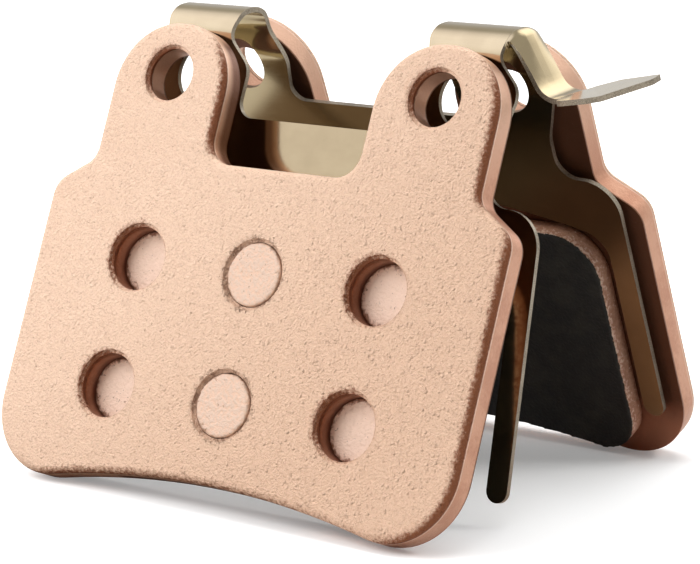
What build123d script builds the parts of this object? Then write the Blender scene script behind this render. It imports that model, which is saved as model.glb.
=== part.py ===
from build123d import *
import os
from math import copysign, cos, hypot, radians, sin, tan

# Disc brake pad set: two pads lean against one folded leaf spring. Millimetres and degrees, +Z up.
# Heights on a pad and on the spring's panels are measured from the level of the pin holes.

# Backing plate
pin_spacing = 24.6
pin_bore = 4.1
plate_thickness = 2.1
plate_width = 42.3
ear_width = 10.8
ear_flat = 0.5
ear_crown = 4.1
notch_depth = 6.4
notch_radius = 2.0
shoulder_top = 7.0
shoulder_end = 9.2
shoulder_hollow_radius = 1.5
shoulder_radius = 2.0
plate_reach = 30.0
foot_arc_radius = 76.0
foot_corner_radius = 5.4
face_rounding = 0.55
rim_rounding = 0.25

# Holes that key the friction material into the plate
key_bore = 4.9
key_pitch = 11.1
key_rows = (14.3, 24.1)
open_key_depth = 1.6
filled_key_depth = 0.06
key_clearance = 0.03

# Friction block
block_width = 34.8
block_top = 10.9
block_thickness = 1.85
block_foot_inset = 1.0
block_top_radius = 3.8
block_foot_radius = 3.0

# Folded spring: arch, panels and legs
sheet = 0.4
arch_width = 4.9
arch_bend_radius = 2.2
arch_strip_width = 6.6
side_drop = 3.9
splay = 17.4
splay_bend_radius = 2.5
spring_hole = 4.25
spring_hole_rise = 1.1
ring_width = 9.3
ring_rise = 2.0
ring_radius = 1.8
waist_width = 6.0
waist_rise = 4.2
waist_radius = 1.4
strip_rise = 5.6
neck_reach = 3.0
neck_drop = 3.0
neck_radius = 3.0
bar_top = 1.75
bar_root_reach = 4.05
bar_root_radius = 1.2
wing_top = 6.3
wing_root_radius = 1.8
wing_radius = 2.8
bar_arch = 8.6
bar_arch_radius = 65.0
window_radius = 2.4
leg_clearance = 0.9
leg_width = 1.75
leg_tip = 27.0

# Tab at one end of the spring's arch
tab_strip_width = 3.3
tab_root_share = 0.85
strip_thinning = 0.01
tab_width = 5.2
tab_tip_width = 1.3
tab_drop = 4.7
tab_steepness = 63.0
tab_step_radius = 0.8
tab_foot_radius = 1.6
tab_fold_radius = 1.2
tab_lead = 0.1
tab_flare = 0.2
tab_flat = 3.32
tab_set = 9.0
tab_shoulder = 3.9
tab_rise = 9.3
tab_fold_skew = 37.0
tab_length = 8.42
tab_corner_radius = 0.4
strip_sections = 16
strip_points = 9

# How the set stands
pad_lean = 22.7
roof_rise = 1.7
seat_clearance = 0.03

# Worked out from the sizes above
pin_x = pin_spacing / 2
plate_half = plate_width / 2
spring_tilt = pad_lean - splay
arch_half = arch_width / 2
leg_inner = block_width / 2 + leg_clearance
leg_outer = leg_inner + leg_width
ear_gap = (arch_half + seat_clearance) / cos(radians(spring_tilt))
roof_offset = -roof_rise * tan(radians(spring_tilt))
touch_depth = (ear_gap - roof_offset) * sin(radians(spring_tilt)) + roof_rise * cos(radians(spring_tilt))
bend_rise = ear_crown - (side_drop - touch_depth) * cos(radians(splay))


def mirrored_loop(corners):
    """Closed face from (x, y, radius) corners of the right half, listed from the top middle downwards."""
    left = [(-x, y, radius) for x, y, radius in reversed(corners)]
    loop = corners + left
    path = FilletPolyline(*[(x, y) for x, y, _ in loop], radius=[radius for _, _, radius in loop], close=True)
    return make_face(path)


def foot_disc(inset):
    """Disc whose upper edge is the concave foot of a pad, raised by the inset."""
    return Pos(0, -plate_reach - foot_arc_radius) * Circle(foot_arc_radius + inset)


def lowest_corners(sketch):
    """The two corners at the foot of an upright sketch."""
    return sketch.vertices().sort_by(Axis.Y)[:2]


def key_places():
    """Centre and depth of the open part of each key hole; the middle column is filled nearly flush."""
    depths = {-key_pitch: open_key_depth, 0: filled_key_depth, key_pitch: open_key_depth}
    return [(x, -row, depth) for row in key_rows for x, depth in depths.items()]


# The pad lies with its outer face up at Z = 0, pin holes on the X axis

def backing_plate():
    ear_radius = (ear_width - ear_flat) / 2
    corners = [
        (pin_x - ear_width / 2, -notch_depth, notch_radius),
        (pin_x - ear_width / 2, ear_crown, ear_radius),
        (pin_x + ear_width / 2, ear_crown, ear_radius),
        (pin_x + ear_width / 2, -shoulder_top, shoulder_hollow_radius),
        (plate_half, -shoulder_end, shoulder_radius),
        (plate_half, -plate_reach - foot_arc_radius, 0),
    ]
    outline = mirrored_loop(corners) - foot_disc(0)
    outline = fillet(lowest_corners(outline), foot_corner_radius)
    plate = extrude(outline, -plate_thickness)
    outer_face = plate.faces().sort_by(Axis.Z)[-1]
    plate = fillet(outer_face.edges(), face_rounding)
    for x in (-pin_x, pin_x):
        plate -= rounded_hole(x, 0, pin_bore)
    for x, y, _ in key_places():
        plate -= rounded_hole(x, y, key_bore)
    return plate


def rounded_hole(x, y, bore):
    """Through hole whose rim on the outer face is rounded over."""
    rim = bore / 2 + rim_rounding
    profile = Polyline((0, 0), (rim, 0))
    profile += RadiusArc((rim, 0), (bore / 2, -rim_rounding), rim_rounding)
    profile += Polyline((bore / 2, -rim_rounding), (bore / 2, -plate_thickness), (0, -plate_thickness), (0, 0))
    return Pos(x, y) * revolve(Plane.XZ * make_face(profile), Axis.Z)


def friction_block():
    half = block_width / 2
    corners = [
        (half, -block_top, block_top_radius),
        (half, -plate_reach - foot_arc_radius, 0),
    ]
    outline = mirrored_loop(corners) - foot_disc(block_foot_inset)
    outline = fillet(lowest_corners(outline), block_foot_radius)
    block = Pos(0, 0, -plate_thickness) * extrude(outline, -block_thickness)
    for x, y, depth in key_places():
        plug = Circle(key_bore / 2 - key_clearance)
        block += Pos(x, y, -plate_thickness) * extrude(plug, plate_thickness - depth)
    return block


# The spring stands upright with the top of its roof at the origin

def sheet_face(corners):
    """Face of one sheet thickness below a path of (x, y, radius) corners drawn from left to right."""
    path = FilletPolyline(*[(x, y) for x, y, _ in corners], radius=[radius for _, _, radius in corners[1:-1]])
    return make_face(offset(path, sheet, side=Side.RIGHT))


def panel_blank():
    """One panel as seen square on: two ears with pin holes, a cross bar, two wings and two legs."""
    strip_half = arch_strip_width / 2
    waist_half = waist_width / 2
    ring_half = ring_width / 2
    strip_top = bend_rise + side_drop + arch_width
    bar_drop = bar_arch + bar_arch_radius - (bar_arch_radius**2 - leg_inner**2) ** 0.5
    wing_foot = bar_drop + window_radius
    corners = [
        (pin_x - bar_root_reach, -bar_top, bar_root_radius),
        (pin_x - ring_half, ring_rise, ring_radius),
        (pin_x - waist_half, waist_rise, waist_radius),
        (pin_x - strip_half, strip_rise, waist_radius),
        (pin_x - strip_half, strip_top, 0),
        (pin_x + strip_half, strip_top, 0),
        (pin_x + strip_half, strip_rise, waist_radius),
        (pin_x + waist_half, waist_rise, waist_radius),
        (pin_x + ring_half, ring_rise, ring_radius),
        (pin_x + neck_reach, -neck_drop, neck_radius),
        (pin_x + neck_reach, -wing_top, wing_root_radius),
        (leg_outer, -wing_top, wing_radius),
        (leg_outer, -wing_foot, 0),
    ]
    blank = mirrored_loop(corners)
    window = Pos(0, -wing_foot) * Rectangle(2 * leg_inner, 2 * wing_foot)
    window &= Pos(0, -bar_arch - bar_arch_radius) * Circle(bar_arch_radius)
    window = fillet(window.vertices().sort_by(Axis.Y)[-2:], window_radius)
    blank -= window
    for side in (-1, 1):
        leg_start = wing_top + wing_radius
        leg = SlotOverall(leg_tip - leg_start, leg_width, rotation=90)
        blank += Pos(side * (leg_inner + leg_outer) / 2, -(leg_tip + leg_start) / 2) * leg
        blank -= Pos(side * pin_x, spring_hole_rise) * Circle(spring_hole / 2)
    return blank


def spring_half():
    """Rear half of the folded sheet, from the middle of the roof to the leg tips."""
    reach = leg_tip + bend_rise + arch_width
    bend_y = arch_half
    bend_z = -side_drop
    corners = [
        (0, 0, 0),
        (arch_half, 0, arch_bend_radius),
        (bend_y, bend_z, splay_bend_radius),
        (bend_y + reach * sin(radians(splay)), bend_z - reach * cos(radians(splay)), 0),
    ]
    folded = extrude(Plane.YZ * sheet_face(corners), leg_outer, both=True)
    pins_y = bend_y + bend_rise * sin(radians(splay))
    pins_z = bend_z - bend_rise * cos(radians(splay))
    facing = Plane((0, pins_y, pins_z), x_dir=(-1, 0, 0), z_dir=(0, cos(radians(splay)), sin(radians(splay))))
    cutter = extrude(facing * panel_blank(), reach, both=True)
    return folded & cutter


def roof_skin(y):
    """Drop and slope of the arch's outer skin at a distance from the middle of the roof."""
    run = max(0, abs(y) - arch_half + arch_bend_radius)
    rest = (arch_bend_radius**2 - run**2) ** 0.5
    return arch_bend_radius - rest, copysign(run / rest, y)


def strip_section(path, share):
    """Cross-section of the tab's strip at a share of its path: as wide and arched as the roof at first, then flat.
    Drawing the strip out of the sheet has thinned both its skins."""
    strip_half = tab_strip_width / 2
    half = strip_half + (tab_root_share * arch_half - strip_half) * (1 - share) ** 6
    hollow = (1 - share) ** 2
    outer, inner = [], []
    for i in range(strip_points):
        y = half * (2 * i / (strip_points - 1) - 1)
        drop, slope = (hollow * skin for skin in roof_skin(y))
        for points, depth in ((outer, strip_thinning), (inner, sheet - strip_thinning)):
            points.append((y - depth * slope / hypot(1, slope), -drop - depth / hypot(1, slope)))
    skin, lining = Spline(*outer), Spline(*reversed(inner))
    band = skin + Line(skin @ 1, lining @ 0) + lining + Line(lining @ 1, skin @ 0)
    return Plane(path @ share, x_dir=(0, 1, 0), z_dir=path % share) * make_face(band)


def tab_plan(start, shoulder, tip):
    """Outline of the tab from above: it flares from the strip and tapers to a blunt tip."""
    upper = [
        (start, tab_strip_width / 2, 0),
        (start + tab_flare, tab_width / 2, tab_corner_radius),
        (shoulder, tab_width / 2, tab_corner_radius),
        (tip, tab_tip_width / 2, tab_corner_radius),
    ]
    loop = upper + [(x, -y, radius) for x, y, radius in reversed(upper)]
    path = FilletPolyline(*[(x, y) for x, y, _ in loop], radius=[radius for _, _, radius in loop], close=True)
    return make_face(path)


def spring_tab():
    """Strip that runs off the right end of the roof, steps down and ends in a raised tab."""
    arch_end = pin_x + arch_strip_width / 2
    step_reach = tab_step_radius * tan(radians(tab_steepness / 2)) + tab_lead
    foot_reach = tab_foot_radius * tan(radians((tab_steepness + tab_set) / 2)) + tab_lead
    step_x = arch_end + step_reach
    foot_x = step_x + tab_drop / tan(radians(tab_steepness))
    foot = Pos(foot_x, 0, -tab_drop) * Rot(0, -tab_set, 0)
    strip_end = (foot * Pos(foot_reach, 0, 0)).position
    step = [(arch_end, 0), (step_x, 0), (foot_x, -tab_drop), (strip_end.X, strip_end.Z)]
    path = Plane.XZ * FilletPolyline(*step, radius=[tab_step_radius, tab_foot_radius])
    strip = loft([strip_section(path, i / strip_sections) for i in range(strip_sections + 1)])
    run = 2 * tab_length
    rise = [
        (-run, 0, 0),
        (0, 0, tab_fold_radius),
        (run * cos(radians(tab_rise)), run * sin(radians(tab_rise)), 0),
    ]
    skew = radians(tab_fold_skew)
    fold = Plane((tab_flat, 0, 0), x_dir=(cos(skew), sin(skew), 0), z_dir=(sin(skew), -cos(skew), 0))
    outline = tab_plan(foot_reach, tab_shoulder, tab_length)
    tab = extrude(fold * sheet_face(rise), run, both=True) & extrude(outline, tab_length, both=True)
    return strip + foot * tab


def return_spring():
    half = spring_half()
    return half + mirror(half, Plane.XZ) + spring_tab()


# The set: pads lean inwards and touch the arch with the inner edges of their ear tops

def placed_set():
    lean = radians(pad_lean)
    ear_top_height = ear_crown * cos(lean) - plate_thickness * sin(lean)
    pad_offset = ear_gap + ear_crown * sin(lean) + plate_thickness * cos(lean)
    front = Pos(0, -pad_offset, 0) * Rot(90 - pad_lean, 0, 0)
    rear = Rot(0, 0, 180) * front
    spring_place = Pos(0, roof_offset, ear_top_height + roof_rise) * Rot(spring_tilt, 0, 0)
    plate = backing_plate()
    block = friction_block()
    pieces = {
        "front_backing_plate": front * plate,
        "front_friction_block": front * block,
        "rear_backing_plate": rear * plate,
        "rear_friction_block": rear * block,
        "return_spring": spring_place * return_spring(),
    }
    box = Compound(children=[Compound(piece.solids()) for piece in pieces.values()]).bounding_box()
    stand = Pos(-box.center().X, -box.center().Y, -box.min.Z)
    return {name: stand * piece for name, piece in pieces.items()}


os.makedirs("parts", exist_ok=True)
for name, piece in placed_set().items():
    export_step(Compound(piece.solids()), f"parts/{name}.step")
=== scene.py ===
from math import cos, radians, sin

import bmesh
import bpy
from mathutils import Matrix, Vector, noise
from mathutils.bvhtree import BVHTree


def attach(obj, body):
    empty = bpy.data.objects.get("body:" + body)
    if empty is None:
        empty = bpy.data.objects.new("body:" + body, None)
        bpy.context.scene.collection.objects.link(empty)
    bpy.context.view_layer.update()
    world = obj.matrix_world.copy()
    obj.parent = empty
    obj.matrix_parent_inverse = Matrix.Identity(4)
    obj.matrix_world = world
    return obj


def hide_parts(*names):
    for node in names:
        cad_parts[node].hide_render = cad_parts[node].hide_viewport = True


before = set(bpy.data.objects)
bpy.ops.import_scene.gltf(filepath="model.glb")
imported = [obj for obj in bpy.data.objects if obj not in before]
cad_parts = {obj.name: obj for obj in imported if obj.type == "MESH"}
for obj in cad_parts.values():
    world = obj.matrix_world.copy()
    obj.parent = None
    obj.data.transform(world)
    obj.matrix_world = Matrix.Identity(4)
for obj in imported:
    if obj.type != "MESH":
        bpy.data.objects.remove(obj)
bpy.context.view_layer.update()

MM = 0.001
FRONT, REAR = -1, 1

# Places on a pad, in millimetres, as the solids have them
PAD_LEAN = radians(22.7)
PIN_SPACING = 24.6
PIN_HEIGHT = 29.9056
PIN_FACE_REACH = 6.0102
PAD_MIDDLE = -2.8582
PLATE_THICKNESS = 2.1
FACE_ROUNDING = 0.55
KEY_RADIUS = 2.45
KEY_PITCH = 11.1
KEY_ROWS = (14.3, 24.1)
FRICTION_DEPTH = 3.95
SHEET = 0.4

# Small forms, in millimetres
EDGE_EASING = 0.05
COMPOUND_VOXEL = 0.145
COMPOUND_SMOOTHING = 4
FLAT_WEAR, WALL_WEAR, EDGE_WEAR = 0.004, 0.03, 0.06
CORNER_ANGLE = radians(38)

# Finishes: colours as they look in plain light, except where a comment above a colour names it painted shade or
# painted light
SPRAYED_FACE = (0.84, 0.60, 0.44, 1)
SPRAYED_FACE_LOW = (0.77, 0.52, 0.37, 1)
# Painted shade: the face darker and warmer towards its lower right, away from the key light
SPRAYED_FACE_PAINTED_SHADE = (0.78, 0.48, 0.31, 1)
SPRAYED_PIT = (0.40, 0.23, 0.15, 1)
COPPER_WALL = (0.68, 0.37, 0.245, 1)
COPPER_WALL_LOW = (0.58, 0.29, 0.185, 1)
# Painted shade: the inner face, and the walls in the near notch
COPPER_PAINTED_DEEP_SHADE = (0.13, 0.045, 0.02, 1)
# Painted half shade: the inner face's foot and the near block's overspray
COPPER_PAINTED_HALF_SHADE = (0.50, 0.21, 0.12, 1)
# Painted shade: on edges turned from the key light, in the key holes' mouths, at the friction walls' root and round
# deep plugs
COPPER_PAINTED_SHADE = (0.22, 0.065, 0.022, 1)
# Painted highlight: the pale line where the face's rounding ends, and glints on the friction walls
COPPER_PAINTED_HIGHLIGHT = (0.90, 0.66, 0.52, 1)
# Painted shade on the walls of the key holes and pin holes
KEY_WALL_PAINTED_SHADE = (0.42, 0.20, 0.125, 1)
PLUG_FACE = (0.72, 0.53, 0.41, 1)
# Painted light: deep plugs painted paler against the shade of their hole
DEEP_PLUG_PAINTED_LIGHT = (0.91, 0.67, 0.52, 1)
COMPOUND_BLACK = (0.010, 0.0095, 0.008, 1)
COMPOUND_BROWN = (0.022, 0.019, 0.014, 1)
SPRING_GOLD = (0.48, 0.39, 0.24, 1)
SPRING_OLIVE = (0.43, 0.345, 0.21, 1)
SPRING_CUT = (0.45, 0.39, 0.30, 1)
SPRING_CUT_LOW = (0.21, 0.175, 0.13, 1)
PAPER = (0.80, 0.80, 0.80, 1)
PAPER_LOW = (0.78, 0.78, 0.78, 1)
WHITE = (1, 1, 1, 1)
BLACK = (0, 0, 0, 1)

# The table: its half width in metres, the middle of the shadow painted into the table's glow and how far it reaches
# in millimetres
TABLE_REACH = 3.0
SHADE_MIDDLE = (16, 9, 0)
SHADE_CORE, SHADE_EDGE = 26, 48
OCCLUSION_REACH = 0.025
# Painted shade and painted reflections that polished metal sees on the table: middle, edge and core radius in
# millimetres, colour
PAINTED_TABLE_REFLECTIONS = (
    ((-17, -8.5, 0), 24.5, 22.5, (0.20, 0.145, 0.10, 1)),
    ((1, -3, 0), 15.0, 5.0, (0.14, 0.075, 0.05, 1)),
    ((14, 3, 0), 15.0, 7.0, (0.56, 0.32, 0.225, 1)),
)

# The bright sides of the room, as polished metal sees them, and its dimmer front; red, green and blue apart
WINDOW_SIDE = (-0.55, -0.45, 0.70)
WINDOW_LIGHT = (1.25, 1.28, 1.60)
BACK_WINDOW_SIDE = (0.10, 0.78, 0.615)
BACK_WINDOW_LIGHT = 2.0
FRONT_SHADE = (0.14, 0.19, 0.32)
ROOM_LIGHT = 0.12

# Soft boxes: the side they stand on, distance and width in metres, power in watts
SOFT_BOXES = {
    "left_soft_box": ((-0.60, -0.56, 0.57), 0.28, 0.20, 0.76),
    "top_soft_box": ((0.10, 0.15, 1.0), 0.5, 0.30, 1.6),
    "rear_right_soft_box": ((0.66, 0.33, 0.68), 0.5, 0.18, 1.0),
}
AIM_HEIGHT = 0.015

# The camera: place in millimetres, lens and sensor width, and its right, up and back directions
CAMERA_PLACE = (125.45, -170.61, 57.32)
CAMERA_LENS = 147.33
CAMERA_SENSOR = 36
CAMERA_AXES = ((0.8003, 0.5996, -0.0054), (-0.1144, 0.1615, 0.9802), (0.5886, -0.7838, 0.1979))


class Flow:
    """A value in a finish. Sums and products of flows add Math nodes."""

    def __init__(self, finish, socket):
        self.finish, self.socket = finish, socket

    def maths(self, operation, first, second):
        return self.finish.node("ShaderNodeMath", {"operation": operation}, {0: first, 1: second})

    def __add__(self, other):
        return self.maths("ADD", self, other)

    def __radd__(self, other):
        return self.maths("ADD", other, self)

    def __sub__(self, other):
        return self.maths("SUBTRACT", self, other)

    def __rsub__(self, other):
        return self.maths("SUBTRACT", other, self)

    def __mul__(self, other):
        return self.maths("MULTIPLY", self, other)

    def __rmul__(self, other):
        return self.maths("MULTIPLY", other, self)

    def __abs__(self):
        return self.finish.node("ShaderNodeMath", {"operation": "ABSOLUTE"}, {0: self})


class Finish:
    """The node tree of one material, or of the world."""

    def __init__(self, tree):
        self.tree = tree
        tree.nodes.clear()

    def node(self, kind, settings=None, sockets=None, out=0):
        """A node of that kind, with its settings, then the values or links of its sockets."""
        made = self.tree.nodes.new(kind)
        for name, setting in (settings or {}).items():
            setattr(made, name, setting)
        for name, given in (sockets or {}).items():
            if isinstance(given, Flow):
                self.tree.links.new(given.socket, made.inputs[name])
            else:
                made.inputs[name].default_value = given
        return Flow(self, made.outputs[out]) if made.outputs else made

    def place(self):
        """Where a point is, in millimetres."""
        metres = self.node("ShaderNodeTexCoord", out="Object")
        return self.node("ShaderNodeVectorMath", {"operation": "SCALE"}, {0: metres, "Scale": 1 / MM})

    def along(self, vector, direction):
        """How far a vector goes in that direction."""
        return self.node("ShaderNodeVectorMath", {"operation": "DOT_PRODUCT"}, {0: vector, 1: direction}, "Value")

    def far_from(self, place, spot):
        """Distance from a spot."""
        return self.node("ShaderNodeVectorMath", {"operation": "DISTANCE"}, {0: place, 1: spot}, "Value")

    def radius(self, across, above):
        """Distance from an axis."""
        return self.node("ShaderNodeMath", {"operation": "SQRT"}, {0: across * across + above * above})

    def ray(self, kind):
        """One for rays of that kind, otherwise nought."""
        return self.node("ShaderNodeLightPath", out=f"Is {kind} Ray")

    def ramp(self, value, start, end, low=0.0, high=1.0):
        """Eases from low at start to high at end."""
        return self.node(
            "ShaderNodeMapRange",
            {"interpolation_type": "SMOOTHSTEP"},
            {"Value": value, "From Min": start, "From Max": end, "To Min": low, "To Max": high},
        )

    def grain(self, place, size, detail=2.0, roughness=0.5):
        """Cloudy grain of that size in millimetres."""
        return self.node(
            "ShaderNodeTexNoise", {}, {"Vector": place, "Scale": 1 / size, "Detail": detail, "Roughness": roughness}
        )

    def spatter(self, place, pitch, share):
        """Round grains strewn over a surface, in that share of places a pitch in millimetres apart."""
        cells = {"Vector": place, "Scale": 1 / pitch}
        dome = self.ramp(self.node("ShaderNodeTexVoronoi", {}, cells, "Distance"), 0.42, 0.08)
        tint = self.node("ShaderNodeTexVoronoi", {}, cells, "Color")
        draw = self.node("ShaderNodeSeparateColor", {}, {0: tint}, "Red")
        return dome * self.ramp(draw, 1 - share, 1 - share * 0.8)

    def mix(self, share, first, second):
        """From the first colour at a share of 0 to the second at 1."""
        return self.node("ShaderNodeMix", {"data_type": "RGBA"}, {0: share, 6: first, 7: second}, 2)

    def bump(self, height, depth, strength=1.0):
        """Relief of that depth in millimetres."""
        return self.node("ShaderNodeBump", {}, {"Height": height, "Distance": depth * MM, "Strength": strength})

    def surface(self, sockets):
        shader = self.node("ShaderNodeBsdfPrincipled", {}, sockets)
        self.node("ShaderNodeOutputMaterial", {}, {"Surface": shader})


def new_finish(name):
    material = bpy.data.materials.new(name)
    material.use_nodes = True
    return material, Finish(material.node_tree)


# Places on a pad

def pad_places(finish, side):
    """Where a point is, and how far across, above and inwards of the pin holes' middle on the pad's outer face."""
    pins = (PAD_MIDDLE, side * PIN_FACE_REACH, PIN_HEIGHT)
    place = finish.place()
    from_pins = finish.node("ShaderNodeVectorMath", {"operation": "SUBTRACT"}, {0: place, 1: pins})
    across = finish.along(from_pins, (1, 0, 0))
    above = finish.along(from_pins, (0, -side * sin(PAD_LEAN), cos(PAD_LEAN)))
    inwards = finish.along(from_pins, inward_direction(side))
    return place, across, above, inwards


def inward_direction(side):
    """From a pad's outer face towards the rotor."""
    return (0, -side * cos(PAD_LEAN), -sin(PAD_LEAN))


def key_radius(finish, across, above):
    """Distance from the axis of the nearest key hole."""
    outer = abs(abs(across) - KEY_PITCH)
    column = finish.node("ShaderNodeMath", {"operation": "MINIMUM"}, {0: abs(across), 1: outer})
    middle_row = -sum(KEY_ROWS) / 2
    row = abs(above - middle_row) - (KEY_ROWS[1] - KEY_ROWS[0]) / 2
    return finish.radius(column, row)


def pin_radius(finish, across, above):
    """Distance from the axis of the nearest pin hole."""
    return finish.radius(abs(across) - PIN_SPACING / 2, above)


def away_from_key_light(side):
    """The way that edges face which the key light misses: to the right and down on a pad's outer face, where
    painted shade goes.
    """
    right = Vector((-side, 0, 0))
    down = Vector((0, side * sin(PAD_LEAN), -cos(PAD_LEAN)))
    return tuple((right * 0.9 + down * 0.42).normalized())


# Finishes

def copper_spray(name, side):
    """Copper sprayed on a stamped plate: a sandy pale face with painted shade on the edges turned from the key
    light, satin walls, and an inner face in painted shade, less deep at the foot."""
    material, finish = new_finish(name)
    place, across, above, inwards = pad_places(finish, side)
    sand = finish.grain(place, 0.15, 2.0, 0.55)
    specks = finish.grain(place, 0.30, 2.0, 0.6)
    patches = finish.grain(place, 0.9, 2.0, 0.5)
    clouds = finish.grain(place, 2.6, 3.0, 0.55)
    ragged = finish.grain(place, 0.26, 3.0, 0.6) - 0.5
    pits = finish.ramp(specks, 0.32, 0.25)
    coarse = finish.ramp(across * (-0.6 * side) - above * 0.5 + clouds * 8, 2, 24)
    grains = finish.spatter(place, 0.36, 0.45)

    # Face and walls; painted shade on the walls in the near notch, and painted light on the upper walls
    face = finish.mix(finish.ramp(sand + clouds * 0.15, 0.40, 0.68), SPRAYED_FACE_LOW, SPRAYED_FACE)
    # painted shade: darker and warmer towards the lower right, where the coarse mask grows
    face = finish.mix(coarse * 0.4, face, SPRAYED_FACE_PAINTED_SHADE)
    face = finish.mix(pits * 0.4, face, SPRAYED_PIT)
    wall = finish.mix(finish.ramp(clouds + ragged * 0.4, 0.35, 0.65), COPPER_WALL_LOW, COPPER_WALL)
    # painted light: the walls grow paler towards the top, where more light falls
    wall = finish.mix(finish.ramp(above + ragged, -6.0, 1.0) * 0.4, wall, SPRAYED_FACE)
    # painted shade on the walls inside the near notch
    if side == FRONT:
        notch_painted_shade = finish.ramp(abs(across), 9.5, 8.5) * finish.ramp(inwards, 0.6, 1.5)
        wall = finish.mix(notch_painted_shade * 0.9, wall, COPPER_PAINTED_DEEP_SHADE)
    walls = finish.ramp(inwards + ragged * 0.2, 0.40, 0.60)
    colour = finish.mix(walls, face, wall)

    # Broken seams round the flush plugs, then painted shade on the walls of the key holes and pin holes
    from_key = key_radius(finish, across, above)
    flush = finish.ramp(abs(across), 5.0, 4.0)
    broken = 1 - flush * finish.ramp(patches + ragged * 0.5, 0.40, 0.58) * 0.85
    off_seam = abs(from_key - KEY_RADIUS - 0.12 + ragged * 1.3)
    seam = finish.ramp(off_seam, 0.34, 0.10) * finish.ramp(inwards, 0.40, 0.28)
    seam = seam * (0.1 + flush * 0.9) * finish.ramp(specks, 0.60, 0.42) * broken
    colour = finish.mix(seam * 0.75, colour, SPRAYED_PIT)
    key_hole_shade = finish.ramp(from_key, KEY_RADIUS + 0.22, KEY_RADIUS + 0.1)
    key_hole_shade = key_hole_shade * finish.ramp(inwards + ragged * 0.3, 0.15, 0.4)
    colour = finish.mix(key_hole_shade * broken * (0.85 - flush * 0.6), colour, KEY_WALL_PAINTED_SHADE)
    pin_hole_shade = finish.ramp(pin_radius(finish, across, above), 2.35, 2.1) * finish.ramp(inwards, 0.1, 0.4)
    colour = finish.mix(pin_hole_shade * 0.3, colour, KEY_WALL_PAINTED_SHADE)

    # Painted shade on the edges turned from the key light, which goes deeper in the mouths of the key holes
    rounded = finish.node("ShaderNodeBevel", {"samples": 8}, {"Radius": 0.9 * MM})
    turned = finish.along(rounded, away_from_key_light(side))
    mouth = finish.ramp(from_key, KEY_RADIUS + 0.9, KEY_RADIUS + 0.5)
    mouth_reach = mouth * finish.ramp(inwards + ragged * 0.6, 1.25, 0.2)
    edge_reach = (1 - mouth) * finish.ramp(inwards + ragged * 0.1, 0.56, 0.46)
    # painted shade on the edges that face away from the key light
    painted_edge_shade = finish.ramp(turned + ragged * (1.0 + mouth * 0.5), 0.02, 0.60) * (mouth_reach + edge_reach)
    painted_edge_shade = painted_edge_shade * (1 - flush * 0.7 * finish.ramp(from_key, 4.0, 3.5))
    colour = finish.mix(painted_edge_shade * 0.95, colour, COPPER_PAINTED_SHADE)

    # Painted highlight along the line where the face's rounding ends, and the inner face in painted shade, less
    # deep at the foot
    off_rim = abs(inwards - FACE_ROUNDING - 0.05 + ragged * 0.06)
    painted_rim_highlight = finish.ramp(off_rim, 0.09, 0.03) * (1 - key_hole_shade) * (1 - pin_hole_shade)
    colour = finish.mix(painted_rim_highlight * 0.6, colour, COPPER_PAINTED_HIGHLIGHT)
    # painted shade on the inner face, less deep at the foot
    inner = finish.ramp(inwards + ragged * 0.1, PLATE_THICKNESS - 0.2, PLATE_THICKNESS - 0.05)
    foot = finish.ramp(above + clouds * 2, -24.5, -28.5)
    colour = finish.mix(inner * 0.95, colour, finish.mix(foot, COPPER_PAINTED_DEEP_SHADE, COPPER_PAINTED_HALF_SHADE))

    height = sand * (0.8 + coarse * 0.5) + specks * 0.6 + grains * (0.3 + coarse * 0.6) - pits * 0.35 - seam * 0.9
    finish.surface({
        "Base Color": colour,
        "Metallic": 0.25 + walls * 0.35 + painted_edge_shade * 0.5,
        "Roughness": 0.56 - walls * 0.18 + (sand - 0.5) * 0.15,
        "Normal": finish.bump(height * (1 - walls * 0.85), 0.14),
    })
    return material


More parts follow.
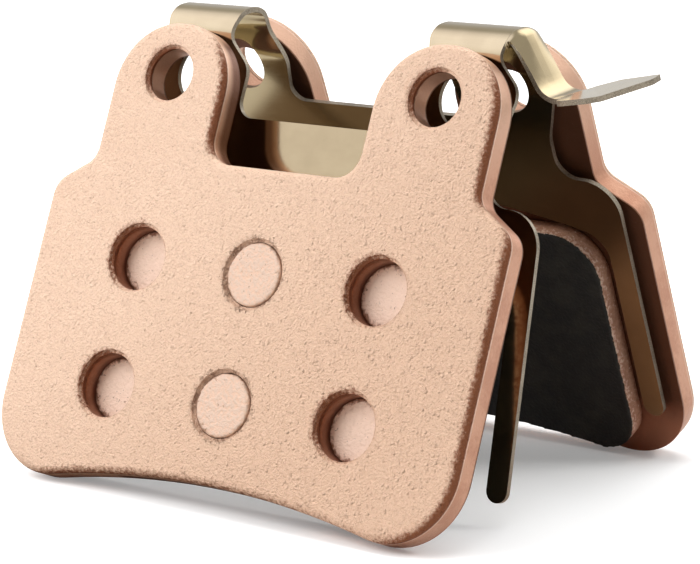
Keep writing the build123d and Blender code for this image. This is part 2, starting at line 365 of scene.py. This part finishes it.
def friction_compound(name, side):
    """Pressed friction compound: black where it meets the rotor, copper overspray on its walls and on its plugs."""
    material, finish = new_finish(name)
    place, across, above, inwards = pad_places(finish, side)
    sand = finish.grain(place, 0.24, 3.0, 0.6)
    patches = finish.grain(place, 0.9, 2.0, 0.5)
    clouds = finish.grain(place, 1.8, 4.0, 0.6)
    ragged = finish.grain(place, 0.35, 3.0, 0.65) - 0.5
    black = finish.mix(finish.ramp(clouds, 0.4, 0.68), COMPOUND_BLACK, COMPOUND_BROWN)

    # Overspray on the walls, with painted shade at the plate, painted glints at the crest, and darker painted shade
    # on the near pad
    if side == FRONT:
        low, high, glint_share = COPPER_PAINTED_SHADE, COPPER_PAINTED_HALF_SHADE, 0.4
    else:
        low, high, glint_share = COPPER_WALL_LOW, COPPER_WALL, 1.0
    overspray = finish.mix(finish.ramp(sand + clouds * 0.5, 0.55, 0.85), low, high)
    root = finish.ramp(inwards + ragged * 0.8, PLATE_THICKNESS + 0.9, PLATE_THICKNESS + 0.1)
    overspray = finish.mix(root * 0.85, overspray, COPPER_PAINTED_SHADE)
    crest = finish.ramp(inwards + ragged * 1.2, FRICTION_DEPTH - 1.1, FRICTION_DEPTH - 0.3)
    painted_glint = finish.ramp(sand + crest * 0.18, 0.63, 0.72)
    overspray = finish.mix(painted_glint * glint_share, overspray, COPPER_PAINTED_HIGHLIGHT)

    # Plugs: painted light where they lie deep, with a painted shade fringe there and a broken seam round all of
    # them
    from_key = key_radius(finish, across, above)
    deep = finish.ramp(inwards, 0.2, 0.5)
    plug = finish.mix(finish.ramp(sand, 0.36, 0.6), SPRAYED_FACE_LOW, PLUG_FACE)
    plug = finish.mix(deep * 0.9, plug, DEEP_PLUG_PAINTED_LIGHT)
    plug = finish.mix(finish.ramp(ragged, 0.13, 0.2) * 0.8, plug, SPRAYED_PIT)
    fringe_painted_shade = finish.ramp(from_key + ragged * 1.6, KEY_RADIUS - 0.5, KEY_RADIUS - 0.05) * deep
    plug = finish.mix(fringe_painted_shade * 0.8, plug, COPPER_PAINTED_SHADE)
    seam = finish.ramp(from_key + ragged * 0.9, KEY_RADIUS - 0.25, KEY_RADIUS - 0.08)
    seam = seam * finish.ramp(patches + ragged * 0.5, 0.58, 0.40, 0.1, 1.0)
    plug = finish.mix(seam * 0.75, plug, SPRAYED_PIT)

    rubbed = finish.ramp(inwards + ragged * 0.4, FRICTION_DEPTH - 0.26, FRICTION_DEPTH - 0.16)
    inside_plate = finish.ramp(inwards, PLATE_THICKNESS, PLATE_THICKNESS - 0.2)
    colour = finish.mix(inside_plate, overspray, plug)
    finish.surface({
        "Base Color": finish.mix(rubbed, colour, black),
        "Metallic": 0.15 + inside_plate * 0.2 - rubbed * 0.15,
        "Roughness": 0.55 + rubbed * 0.2 + (sand - 0.5) * 0.2,
        "Normal": finish.bump(sand + clouds, 0.12),
    })
    return material


def spring_steel(name):
    """Rolled spring strip, polished and gold toned, with faint streaks along it."""
    material, finish = new_finish(name)
    place = finish.place()
    drawn = finish.node("ShaderNodeMapping", {"vector_type": "POINT"}, {"Vector": place, "Scale": (0.04, 1.0, 1.0)})
    streaks = finish.grain(drawn, 0.12, 3.0, 0.6)
    clouds = finish.grain(place, 3.0, 3.0, 0.5)
    finish.surface({
        "Base Color": finish.mix(finish.ramp(clouds + streaks * 0.15, 0.35, 0.8), SPRING_OLIVE, SPRING_GOLD),
        "Metallic": 1.0,
        "Roughness": 0.11 + (streaks - 0.5) * 0.05 + (clouds - 0.5) * 0.03,
        "Normal": finish.bump(streaks, 0.0006, 0.5),
    })
    return material


def sheared_edge(name):
    """The grey fracture that shearing leaves along the spring's outline."""
    material, finish = new_finish(name)
    place = finish.place()
    tears = finish.grain(place, 0.09, 3.0, 0.6)
    clouds = finish.grain(place, 1.5, 2.0, 0.5)
    finish.surface({
        "Base Color": finish.mix(finish.ramp(tears + clouds * 0.4, 0.5, 0.9), SPRING_CUT_LOW, SPRING_CUT),
        "Metallic": 0.8,
        "Roughness": 0.42 + (tears - 0.5) * 0.2,
        "Normal": finish.bump(tears, 0.012, 0.8),
    })
    return material


# Pieces

def mark_edges(shape):
    """Shading runs on over bends, and breaks at corners and where one finish meets another."""
    for face in shape.faces:
        face.smooth = True
    for edge in shape.edges:
        finishes = {face.material_index for face in edge.link_faces}
        edge.smooth = len(finishes) == 1 and edge.calc_face_angle(0) < CORNER_ANGLE


def new_piece(name, shape, node, materials):
    """A piece that is shown in place of a CAD node."""
    mesh = bpy.data.meshes.new(name)
    shape.to_mesh(mesh)
    shape.free()
    for material in materials:
        mesh.materials.append(material)
    piece = bpy.data.objects.new(name, mesh)
    bpy.context.scene.collection.objects.link(piece)
    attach(piece, "root")
    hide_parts(node)


def joined_shape(node):
    """A CAD node's mesh with its faces joined along their edges."""
    shape = bmesh.new()
    shape.from_mesh(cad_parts[node].data)
    bmesh.ops.remove_doubles(shape, verts=shape.verts, dist=1e-7)
    shape.normal_update()
    return shape


def eased_spring():
    """The folded spring with a small easing along its sheared outline."""
    skin, cut, easing = 0, 1, 2
    shape = joined_shape("return_spring")
    depth_test = BVHTree.FromBMesh(shape)
    for face in shape.faces:
        inside = face.calc_center_median() - face.normal * 0.01 * MM
        far_side = depth_test.ray_cast(inside, -face.normal, 1.3 * SHEET * MM)[0]
        face.material_index = skin if far_side else cut
    outline = [edge for edge in shape.edges if len({face.material_index for face in edge.link_faces}) == 2]
    eased = bmesh.ops.bevel(
        shape, geom=outline, offset=EDGE_EASING * MM, offset_type="OFFSET", segments=2, profile=0.5,
        affect="EDGES", material=easing, clamp_overlap=True,
    )
    mark_edges(shape)
    for face in eased["faces"]:
        face.material_index = skin
    new_piece(
        "return_spring_sheet", shape, "return_spring",
        [spring_steel("spring_steel_face"), sheared_edge("spring_steel_edge")],
    )


def fine_shape(node):
    """A CAD node's form in even, fine faces."""
    source = joined_shape(node)
    mesh = bpy.data.meshes.new(node + "_blank")
    source.to_mesh(mesh)
    source.free()
    blank = bpy.data.objects.new(node + "_blank", mesh)
    bpy.context.scene.collection.objects.link(blank)
    remesh = blank.modifiers.new("grain", "REMESH")
    remesh.mode = "VOXEL"
    remesh.voxel_size = COMPOUND_VOXEL * MM
    seen = blank.evaluated_get(bpy.context.evaluated_depsgraph_get())
    shape = bmesh.new()
    shape.from_mesh(seen.to_mesh())
    bpy.data.objects.remove(blank)
    return shape


def crumbled_block(node, side):
    """The friction block with the grain and the broken edges of pressed compound, worn inwards from the solid."""
    shape = fine_shape(node)
    for _ in range(COMPOUND_SMOOTHING):
        bmesh.ops.smooth_vert(
            shape, verts=shape.verts, factor=0.5, use_axis_x=True, use_axis_y=True, use_axis_z=True,
        )
    shape.normal_update()
    facing = Vector(inward_direction(side))
    moves = []
    for vert in shape.verts:
        spot = vert.co / MM
        flat = abs(vert.normal.dot(facing))
        fine = noise.noise(spot * 3.3) * 0.5 + 0.5
        coarse = noise.noise(spot * 1.2) * 0.5 + 0.5
        edge = max(0.0, 1 - abs(flat - 0.7) / 0.45)
        wear = fine * (FLAT_WEAR + WALL_WEAR * (1 - flat) + EDGE_WEAR * edge * coarse)
        moves.append(vert.normal * -MM * wear)
    for vert, move in zip(shape.verts, moves):
        vert.co += move
    mark_edges(shape)
    name = "front" if side == FRONT else "rear"
    new_piece(
        name + "_friction_compound_block", shape, node,
        [friction_compound(name + "_friction_compound", side)],
    )


def dress(node, material):
    """Gives a CAD node that stays its finish."""
    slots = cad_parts[node].data.materials
    slots.clear()
    slots.append(material)


# Studio

def sweep_floor():
    """A pale table that glows white to the lens, with the pads' shadow cast on it and also painted into its glow,
    and painted shade and reflections where polished metal sees it.
    """
    mesh = bpy.data.meshes.new("sweep_floor")
    corners = [(x * TABLE_REACH, y * TABLE_REACH, 0) for x, y in ((-1, -1), (1, -1), (1, 1), (-1, 1))]
    mesh.from_pydata(corners, [], [(0, 1, 2, 3)])
    floor = bpy.data.objects.new("sweep_floor", mesh)
    bpy.context.scene.collection.objects.link(floor)
    material, finish = new_finish("sweep_paper")
    place = finish.place()
    colour = finish.mix(finish.grain(place, 0.8, 2.0, 0.5), PAPER_LOW, PAPER)
    mirrored = finish.ray("Glossy")
    # painted shade and painted reflections, seen only by glossy rays
    for middle, edge, core, tone in PAINTED_TABLE_REFLECTIONS:
        colour = finish.mix(mirrored * finish.ramp(finish.far_from(place, middle), edge, core), colour, tone)
    paper = finish.node("ShaderNodeBsdfDiffuse", {}, {"Color": colour})
    openness = finish.node("ShaderNodeAmbientOcclusion", {"samples": 8}, {"Distance": OCCLUSION_REACH}, "AO")
    far = finish.ramp(finish.far_from(place, SHADE_MIDDLE), SHADE_CORE, SHADE_EDGE)
    # painted shadow: the glow dims where occlusion is high and near the shade's middle
    glow_with_painted_shadow = finish.mix((0.25 + openness * 0.75) * (0.44 + far * 0.56), BLACK, WHITE)
    glow = finish.node("ShaderNodeEmission", {}, {"Color": glow_with_painted_shadow})
    lit = finish.node("ShaderNodeAddShader", {}, {0: paper, 1: glow})
    shown = finish.node("ShaderNodeMixShader", {}, {0: finish.ray("Camera"), 1: paper, 2: lit})
    finish.node("ShaderNodeOutputMaterial", {}, {"Surface": shown})
    mesh.materials.append(material)


def soft_box(name, towards, distance, width, power):
    """A square lamp that faces the pads from the given side; polished metal doesn't show it."""
    data = bpy.data.lights.new(name, "AREA")
    data.shape = "RECTANGLE"
    data.size = data.size_y = width
    data.energy = power
    box = bpy.data.objects.new(name, data)
    box.visible_glossy = False
    box.location = Vector(towards).normalized() * distance + Vector((0, 0, AIM_HEIGHT))
    box.rotation_euler = Vector(towards).to_track_quat("Z", "Y").to_euler()
    bpy.context.scene.collection.objects.link(box)


def studio_room():
    """White to the lens. Polished metal sees a pale room with a window on the left and another behind."""
    world = bpy.data.worlds.new("studio_room")
    world.use_nodes = True
    bpy.context.scene.world = world
    finish = Finish(world.node_tree)
    outwards = finish.node("ShaderNodeTexCoord", out="Generated")
    window = finish.ramp(finish.along(outwards, tuple(Vector(WINDOW_SIDE).normalized())), 0.60, 1.0)
    back_window = finish.ramp(finish.along(outwards, tuple(Vector(BACK_WINDOW_SIDE).normalized())), 0.85, 1.0)
    front = finish.ramp(finish.along(outwards, (0, -1, 0)), 0.55, 0.85)
    height = finish.along(outwards, (0, 0, 1))
    plain = finish.ramp(height, 0.06, 0.25, 0.9, 0.65) + back_window * BACK_WINDOW_LIGHT
    camera, glossy, through = (finish.ray(kind) for kind in ("Camera", "Glossy", "Transmission"))
    rest = camera + through + (1 - camera - through - glossy) * ROOM_LIGHT
    levels = {
        channel: rest + glossy * (plain * (1 - front * shade) + window * light)
        for channel, (shade, light) in enumerate(zip(FRONT_SHADE, WINDOW_LIGHT))
    }
    tone = finish.node("ShaderNodeCombineColor", {}, levels)
    shader = finish.node("ShaderNodeBackground", {}, {"Color": tone})
    finish.node("ShaderNodeOutputWorld", {}, {"Surface": shader})


def photo_camera():
    """A camera at the photograph's viewing angle."""
    data = bpy.data.cameras.new("photo_camera")
    data.sensor_width = CAMERA_SENSOR
    data.lens = CAMERA_LENS
    camera = bpy.data.objects.new("photo_camera", data)
    turn = Matrix(CAMERA_AXES).transposed().to_4x4()
    camera.matrix_world = Matrix.Translation(Vector(CAMERA_PLACE) * MM) @ turn
    bpy.context.scene.collection.objects.link(camera)
    bpy.context.scene.camera = camera


dress("front_backing_plate", copper_spray("front_copper_spray", FRONT))
dress("rear_backing_plate", copper_spray("rear_copper_spray", REAR))
crumbled_block("front_friction_block", FRONT)
crumbled_block("rear_friction_block", REAR)
eased_spring()
sweep_floor()
for name, values in SOFT_BOXES.items():
    soft_box(name, *values)
studio_room()
photo_camera()
bpy.context.scene.view_settings.view_transform = "Standard"
